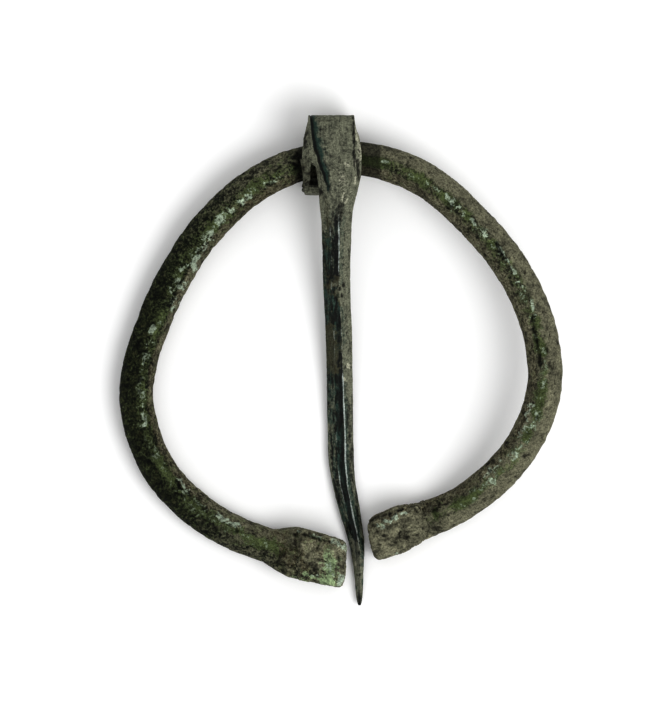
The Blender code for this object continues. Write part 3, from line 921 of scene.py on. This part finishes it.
def hoopHeight(grid, flow, crest, atEnd, marks):
    # How far the crust stands out from the plain form, and how cracked or low it is there
    relief = hoopRelief
    flake = ramp(crumbs(grid, 1.7, 3, 23), -0.02, 0.06)
    pit = ramp(lumps(grid, 0.75, 31) + 0.5 * lumps(grid, 0.38, 37), 0.28, 0.62)
    height = relief["swell"] * crumbs(grid, 4.0, 2, 3) + relief["lump"] * crumbs(grid, 1.1, 3, 11)
    height += relief["flake"] * flake - relief["sunk"] - relief["pit"] * pit + relief["crest"] * crest
    crag = ridged(grid * np.array((1.0, 1.4, 1.0)), 0.95, 3, 61)
    cracks = ramp(ridged(grid, 1.5, 1, 65), 0.9, 0.985) * ramp(lumps(grid, 2.4, 67), -0.25, 0.15)
    fibre = crumbs(flow * np.array((0.3, 1.0, 1.0)), 0.42, 2, 69)
    rough = relief["endCrag"] * (crag - 0.6) + relief["endFlake"] * (flake - 0.5)
    rough += relief["endFibre"] * fibre - relief["endCrack"] * cracks
    height += atEnd * rough + relief["paleStroke"] * marks["pale"] - relief["darkStroke"] * marks["dark"]
    underLoop = ramp(-np.abs(grid[..., 0] + 0.4), -6.5, -5.2) * (grid[..., 1] > 15)
    height = np.minimum(height, relief["highest"] - relief["heldUnderLoop"] * underLoop)
    hollow = np.clip(-(height + 0.01) / (0.09 + 0.06 * atEnd), 0, 1)
    split = np.maximum(cracks * 0.8, ramp(-fibre, 0.1, 0.5) * 0.6)
    return height, np.maximum(hollow, atEnd * split)


def buildHoop():
    grid, flow, fromCrown, folded, away = hoopGrid()
    normals = gridNormals(grid)
    bearing = bearingsOf(grid)
    marks = strokeMasks(grid, normals, hoopMarks, 50, {"green": 0.85, "pale": 0.85})
    atEnd = ramp(-away, -9.5, -6.5)
    crest = bell(fromCrown, 0.32) * (1 - folded)
    height, hollow = hoopHeight(grid, flow, crest, atEnd, marks)
    leftArm = ramp(-bearing, 0, 12)
    rightArm = (1 - leftArm) * (1 - atEnd)
    outward = flow[..., 1] / (hoop["rodWidth"] / 2)
    outside = ramp(outward, 0.10, 0.55)
    inside = ramp(-outward, 0.10, 0.55)
    crown = 1 - outside - inside
    dust = 0.12 * atEnd + marks["dust"]
    for label, part in (("dustOutside", outside), ("dustInside", inside), ("dustCrown", crown)):
        dust += part * np.interp(bearing, hoopPaint["bearings"], hoopPaint[label])
    ridge = bell(fromCrown, 0.85) * (1 - folded) * (1 - atEnd)
    patchy = 0.4 + 0.9 * ramp(crumbs(grid, 1.6, 2, 71), -0.25, 0.2)
    pale = 0.65 * ridge * tableOver(hoopPaint["paleCrest"], bearing) * patchy
    moss = ridge * (0.35 + 0.5 * ramp(lumps(grid, 3.0, 75), -0.1, 0.3))
    moss += 0.25 * leftArm + 0.2 * rightArm * (1 - outside)
    # Painted shade: darker towards the underside of the rod, and on the left arm's outer side and, less, its
    # crown, turned away from the key light, over their dark patina
    low = ramp(-flow[..., 2], 0.0, 1.4) * (1 - folded)
    shadowSide = (outside + 0.75 * crown) * leftArm * ramp(-bearing, 35, 75) * ramp(bearing, -160, -140)
    values = {
        "dust": dust,
        "pale": np.maximum(pale, marks["pale"]),
        "green": marks["green"],
        "moss": moss,
        "raised": (height - 0.02) / 0.08,
        "brown": 0.5 * inside + 0.3 * atEnd + marks["brown"],
        "hollow": hollow * (1 - 0.6 * marks["green"]),
        "dark": marks["dark"] + 0.45 * low + 0.34 * shadowSide,
    }
    moved = grid + normals * height[..., None]
    moved[..., 2] = np.maximum(moved[..., 2], 0.004)  # stays off the table
    piece = skin("hoopSkin", [(moved, flow, shares(values))])
    piece.data.materials.append(hoopMaterial())
    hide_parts("hoop")
    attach(piece, "hoop")
    print("Hoop skinned with", len(piece.data.polygons), "faces")


tongue = {  # the tail's left corner, curled up against the head
    "across": (-4.42, -4.42, -4.42, -4.38, -4.32, -4.3, -4.34, -4.4),
    "back": (-4.3, -4.2, -4.05, -3.6, -2.95, -2.1, -1.2, -0.3),
    "up": (0.6, 1.6, 2.5, 3.15, 3.55, 3.8, 3.95, 4.0),
    "width": (1.0, 1.1, 0.85, 0.95, 1.05, 1.2, 1.45, 1.6),
    "thickness": 0.6,
    "length": 6.0,
    "rings": 60,
    "columns": 28,
    "squareness": 0.6,
    "smoothing": 6,
}


def buildTongue():
    fine = np.linspace(0, 1, tongue["rings"])
    steps = np.linspace(0, 1, len(tongue["across"]))
    x, y, z, width = (np.interp(fine, steps, tongue[label]) for label in ("across", "back", "up", "width"))
    for _ in range(tongue["smoothing"]):
        y[1:-1] = (y[:-2] + y[1:-1] + y[2:]) / 3
        z[1:-1] = (z[:-2] + z[1:-1] + z[2:]) / 3
    dy, dz = np.gradient(y), np.gradient(z)
    turn = np.linspace(0, 2 * np.pi, tongue["columns"], endpoint=False)
    across = np.sign(np.cos(turn)) * np.abs(np.cos(turn)) ** tongue["squareness"]
    rise = np.sign(np.sin(turn)) * np.abs(np.sin(turn)) ** tongue["squareness"]
    rings = []
    for n in range(len(fine)):
        centre = np.array((x[n], y[n], z[n])) + np.array(axisPlace)
        up = np.array((0, -dz[n], dy[n])) / np.hypot(dy[n], dz[n])
        ring = centre + np.outer(across * width[n] / 2, (1, 0, 0))
        rings.append(ring + np.outer(rise * tongue["thickness"] / 2, up))
    grid = np.array(rings)
    grid = grid + gridNormals(grid) * (crumbs(grid, 0.8, 3, 171) * 0.2 - 0.08)[..., None]
    run = np.repeat(fine[:, None] * tongue["length"], len(turn), axis=1)
    flow = np.stack([run, np.tile(across, (len(fine), 1)), np.tile(rise, (len(fine), 1))], axis=-1)
    values = {label: np.zeros(grid.shape[:2]) for label in ("pale", "glint", "teal")}
    values["dust"] = 0.4 + 0.5 * lumps(grid, 0.8, 177)
    values["brown"] = values["pale"] + 0.5
    values["hollow"] = ridged(grid, 0.8, 2, 175) * 0.5
    values["dark"] = values["pale"] + 0.2
    return grid, flow, values


pinPaint = {  # rows of key and share, or of key and millimetres
    "leftDust": (
        (0.1, 0.45), (0.17, 0.12), (0.45, 0.12), (0.52, 0.34), (1, 0.34),
    ),
    "bandWidth": (
        (-0.22, 0.2), (-0.16, 0.5), (-0.113, 0.62), (-0.05, 0.75), (0.016, 0.62), (0.045, 0.35),
        (0.075, 0.15),
    ),
    "flatDust": (
        (-1, 0.66), (0.05, 0.62), (0.1, 0.5), (0.15, 0.34), (0.22, 0.14), (0.28, 0.16), (0.36, 0.05),
        (1, 0.02),
    ),
    "blackBand": (
        (0.09, 0), (0.135, 0.7), (0.27, 0.85), (0.285, 0.1), (0.32, 0.1), (0.335, 0.85), (0.365, 0.85),
        (0.385, 0.35), (0.47, 0.35), (0.49, 0.9), (0.85, 0.9), (0.93, 0.5),
    ),
    "ridgeShift": (
        (0.085, 0.6), (0.12, 0.4), (0.16, 0.12), (0.2, 0), (0.5, -0.05), (0.63, -0.2), (0.72, -0.15),
        (0.8, -0.05),
    ),
    "leftBrown": (
        (0.1, 0.45), (0.2, 0.25), (0.36, 0.05), (0.39, 0.6), (0.46, 0.6), (0.49, 0.1), (1, 0.1),
    ),
    # how strong the painted highlight along the ridge is, by key
    "glint": (
        (0.09, 0), (0.14, 1.1), (0.2, 0.9), (0.26, 0.5), (0.285, 0.1), (0.32, 0.1), (0.34, 0.45),
        (0.46, 0.45), (0.5, 1), (0.8, 1.1), (0.87, 0.8), (0.92, 0.3),
    ),
}


pinMarks = {  # strokes like the hoop's
    "pale": (
        (0.2, 24.3, 0.5, 22.8, 0.8, 0.5), (2.05, 30.4, 2.6, 26.1, 0.3, 0.9),
        (1.9, 26.1, 1.9, 22.9, 0.14, 0.9), (1.3, 21.9, 0.5, 20.2, 0.1, 0.9),
        (0.45, 21.8, 0.15, 20.6, 0.1, 0.8), (0.5, 25.7, 0.9, 25.2, 0.2, 0.6),
        (1, -0.5, 1.2, -0.9, 0.2, 0.9), (0.45, -2.3, 0.7, -2.6, 0.18, 0.8),
        (1.9, -26.2, 2, -26.8, 0.15, 0.8),
    ),
    # The stroke from (-4.6, 30.2) is a painted shadow down the head's left side, and the one from (-3.7,
    # 22.8) painted shade in the gap beside the tongue
    "dark": (
        (2.2, 25.9, 2.4, 23.4, 0.2, 0.7), (-2.1, 27.3, -1.9, 26.9, 0.2, 0.6),
        (-4.6, 30.2, -4.7, 27.8, 0.25, 0.7), (1.68, 31.6, 1.85, 24, 0.13, 0.95),
        (-3.7, 22.8, -3, 21.8, 0.5, 0.9), (-3.6, 29.5, -3.3, 27.4, 0.07, 0.6),
        (-4.3, 28, -4.1, 26, 0.07, 0.6), (2.35, 29, 2.5, 28.2, 0.06, 0.8), (2.3, 27.3, 2.6, 27, 0.06, 0.8),
        (0.1, 20.3, -0.3, 18, 0.22, 0.6), (-0.2, 9.6, -0.1, 9.3, 0.14, 0.9),
        (0.1, 8.8, 0.2, 8.5, 0.12, 0.9), (-0.6, 8.3, -0.5, 8, 0.12, 0.8), (0.4, 10, 0.4, 9.8, 0.1, 0.8),
        (-1, 9.2, -0.9, 8.9, 0.12, 0.7),
    ),
    "brown": (
        (-0.7, 10.2, 0.4, 7.8, 0.7, 0.9), (-1.3, 4.5, -0.8, -1.5, 0.45, 0.7),
        (-1.9, 20.5, -1.7, 17.5, 0.35, 0.5), (-3.5, 27, -2.9, 22.5, 0.5, 0.3),
    ),
    "dust": (
        (1.95, -23.9, 2.5, -30.6, 0.5, 1.2), (-1.9, -8, -1.5, -15, 0.35, 0.35),
        (-0.5, 9.8, 0.3, 8, 0.5, 0.4), (0.5, 1.5, 1.2, -4, 0.5, 0.3), (-2.6, 22.5, -2.2, 17, 0.3, 0.5),
        (1, 20.5, 0.9, 14, 0.3, 0.3),
    ),
}

pinRelief = {  # heights in millimetres
    "lump": 0.04,
    "line": 0.035,
    "pit": 0.07,
    "groove": 0.12,
    "darkStroke": 0.12,
    "paleStroke": 0.03,
    "headRidge": 0.05,
    "highest": 0.07,
    "heldInLoop": 0.05,
}


def pinZones(keys, columns):
    # Where the faces, ends and stretches of the pin are, each 0 to 1
    starts = np.cumsum((0,) + pinEdgeCounts)
    column = np.arange(columns)
    zones = {
        "upper": ((column >= starts[3]) & (column < starts[6])) * 1.0,
        "left": ((column > starts[5]) & (column < starts[7])) * 1.0,
        "right": ((column >= starts[2]) & (column < starts[4])) * 1.0,
        "top": ((column >= starts[4]) & (column <= starts[5])) * 1.0,
        "under": (column <= starts[1]) * np.ones(keys.shape),
        "inLoop": ((column <= starts[2]) | (column >= starts[7])) & (keys < 0.08),
        "shaft": ramp(keys, 0.08, 0.14),
        "head": 1 - ramp(keys, 0.03, 0.13),
        "overRod": ramp(keys, -0.32, -0.2),
    }
    return zones, starts[4], starts[5]


def pinHeight(grid, flow, keys, zones, ridges, groove, marks):
    # How far the worn surface stands out from the plain form
    relief = pinRelief
    pit = ramp(lumps(grid, 0.7, 141) + 0.5 * lumps(grid, 0.35, 147), 0.36, 0.7)
    line = crumbs(flow * np.array((0.22, 1, 1)), 0.5, 3, 131) * (1 + zones["left"] * zones["head"])
    height = relief["lump"] * crumbs(grid, 1.3, 3, 111) + relief["line"] * line - relief["pit"] * pit
    height -= relief["groove"] * groove + relief["darkStroke"] * marks["dark"]
    height += relief["paleStroke"] * marks["pale"]
    height += relief["headRidge"] * zones["head"] * zones["overRod"] * (ridges[0] + ridges[1])
    height = np.minimum(height, relief["highest"]) * (1 - 0.6 * zones["shaft"] * ridges[1])
    height = np.where(zones["inLoop"], np.minimum(height, 0) - relief["heldInLoop"], height)
    return height * np.where(keys > 0.9, ramp(1 - keys, 0.0, 0.06), 1.0)  # fades out at the point


def buildPin():
    grid, flow, keys = pinGrid()
    normals = gridNormals(grid)
    zones, rightRidge, leftRidge = pinZones(keys, grid.shape[1])
    leftFace, rightFace, topFace = zones["left"], zones["right"], zones["top"]
    onShaft, onHead, under = zones["shaft"], zones["head"], zones["under"]
    fromLeft = flow[..., 1] - flow[:, leftRidge:leftRidge + 1, 1]  # in from the flat's left edge
    fromRight = flow[:, rightRidge:rightRidge + 1, 1] - flow[..., 1]
    nearRight = bell(fromRight, 0.12) * zones["upper"]
    nearLeft = bell(fromLeft, 0.1) * zones["upper"]
    marks = strokeMasks(grid, normals, pinMarks, 90, {"pale": 0.8, "brown": 0.8, "dust": 0.8})
    table = {label: tableOver(rows, keys) for label, rows in pinPaint.items()}
    # The dark teal band along the left edge of the head, over a shallow groove: its darkening is painted
    # shade, its teal a tint of the metal
    edging = topFace * zones["overRod"] * (1 - ramp(keys, 0.04, 0.08))
    groove = bell(fromLeft - 0.14, 0.12) * edging
    bandShare = fromLeft / (table["bandWidth"] * (1 + 0.45 * crumbs(grid, 1.4, 3, 151)))
    band, bandFade, bandShadeCore, bandShadeLine = (
        ramp(-bandShare, -far, -near) * edging
        for far, near in ((1.5, 0.8), (3.0, 0.9), (1.6, 0.8), (0.75, 0.35))
    )
    height = pinHeight(grid, flow, keys, zones, (nearLeft, nearRight), groove, marks)
    # The bright and black lines beside the ridge of the shaft: the bright line is a painted highlight on a
    # pale worn edge
    drawn = flow * np.array((0.22, 1, 1))
    streaky = ramp(crumbs(drawn, 0.45, 3, 165), -0.3, 0.4)
    wander = 0.8 + 0.7 * crumbs(drawn, 1.0, 2, 161)
    fromShine = fromRight - table["ridgeShift"]
    shineRight = bell(fromShine, 0.12) * zones["upper"]
    glint = (table["glint"] * shineRight + onShaft * nearLeft * 0.42) * wander
    besideRidge = np.exp(-((fromShine - 0.34) / 0.3) ** 4) * topFace
    beyondRidge = bell(fromRight + 0.35, 0.38) * rightFace * onShaft
    blackBand = besideRidge * table["blackBand"] * (0.75 + 0.3 * streaky) * (1 - 0.7 * marks["brown"])
    # Dust, teal and brown on the faces
    onLeft = leftFace * (onHead * 0.62 + onShaft * table["leftDust"] * (0.6 + 0.6 * streaky))
    shaftDust = (0.55 + 0.4 * streaky) * (1 - 0.4 * ramp(keys, 0.4, 0.7))
    onRight = rightFace * (onHead * 0.98 + onShaft * shaftDust)
    dust = topFace * table["flatDust"] + onLeft + onRight + under * 0.5
    dust += (1 - onHead) * (1 - onShaft) * 0.4 * (1 - topFace)
    dust = dust * (1 - np.clip(0.95 * groove + 0.9 * band + 0.5 * bandFade, 0, 1)) + marks["dust"]
    dust = dust * (1 - 0.55 * beyondRidge * (0.3 + 0.7 * streaky)) * (1 - 0.8 * blackBand)
    teal = (leftFace + topFace * 0.6) * onShaft * (0.2 + 0.8 * streaky)
    teal += 0.3 * groove + 0.75 * bandFade + 0.7 * beyondRidge + 0.3 * under
    brown = (leftFace + topFace) * onShaft * table["leftBrown"] * (0.5 + 0.5 * streaky)
    # Painted shade on the faces turned downward
    low = ramp(-normals[..., 2], -0.2, 0.5) * (1 - under)
    # Painted shade darkens the head's groove and the core and edge line of its band
    dark = 0.3 * low + 0.95 * blackBand + 0.3 * groove + 0.35 * bandShadeCore + 0.55 * bandShadeLine
    values = {
        "dust": dust,
        "pale": marks["pale"],
        "glint": glint,
        "brown": marks["brown"] + 0.2 * (1 - onShaft * topFace) + brown,
        "teal": teal,
        "hollow": -(height + 0.01) / 0.06,
        "dark": marks["dark"] + dark + ramp(keys, 0.96, 0.985) * 0.7,
    }
    moved = grid + normals * height[..., None]
    moved[..., 2] = np.maximum(moved[..., 2], 0.003)  # stays off the table
    piece = skin("pinSkin", [(moved, flow, shares(values)), buildTongue()])
    piece.data.materials.append(pinMaterial())
    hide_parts("pin")
    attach(piece, "pin")
    print("Pin skinned with", len(piece.data.polygons), "faces")


buildHoop()
buildPin()

# Stage

studio = {
    "floorSize": 3.0,
    "keyWatts": 2.15,
    "keySize": 0.42,
    "keyDistance": 0.62,
    "keyFrom": (0.47, -0.33, 0.82),
    "skyStrength": 0.90,
    "gamma": 0.77,
    "cameraHeight": 0.9,
    "cameraAim": (-0.00104, 0.00131),
    "viewWidth": 0.08645,
    "sharpLevel": 0.004,
    "sensorWidth": 36.0,
    "clipStart": 0.01,
    "clipEnd": 20.0,
    "paper": {"Base Color": (0.92, 0.92, 0.92, 1), "Roughness": 0.9, "Specular IOR Level": 0.1},
}


def buildFloor():
    half = studio["floorSize"] / 2
    mesh = bpy.data.meshes.new("paperFloor")
    corners = [(-half, -half, 0), (half, -half, 0), (half, half, 0), (-half, half, 0)]
    mesh.from_pydata(corners, [], [(0, 1, 2, 3)])
    floor = addObject("paperFloor", mesh)
    mesh.materials.append(Graph("whitePaper").surface(studio["paper"]))


def addLight(name, watts, size, direction, distance):
    data = bpy.data.lights.new(name, "AREA")
    data.shape = "DISK"
    data.size = size
    data.energy = watts
    light = addObject(name, data)
    toward = Vector(direction).normalized()
    light.location = toward * distance
    light.rotation_euler = toward.to_track_quat("Z", "Y").to_euler()


def buildStudio():
    scene = bpy.context.scene
    buildFloor()
    addLight("keyLight", studio["keyWatts"], studio["keySize"], studio["keyFrom"], studio["keyDistance"])
    world = bpy.data.worlds.new("paleSky")
    world.use_nodes = True
    background = world.node_tree.nodes["Background"]
    background.inputs["Color"].default_value = (1, 1, 1, 1)
    background.inputs["Strength"].default_value = studio["skyStrength"]
    scene.world = world
    scene.view_settings.view_transform = "Standard"
    scene.view_settings.gamma = studio["gamma"]
    lens = bpy.data.cameras.new("aboveCamera")
    lens.sensor_fit = "HORIZONTAL"
    lens.sensor_width = studio["sensorWidth"]
    distance = studio["cameraHeight"] - studio["sharpLevel"]
    lens.lens = studio["sensorWidth"] * distance / studio["viewWidth"]
    lens.clip_start = studio["clipStart"]
    lens.clip_end = studio["clipEnd"]
    camera = addObject("aboveCamera", lens)
    camera.location = (*studio["cameraAim"], studio["cameraHeight"])
    scene.camera = camera
    print("Stage, lights and camera set")


buildStudio()
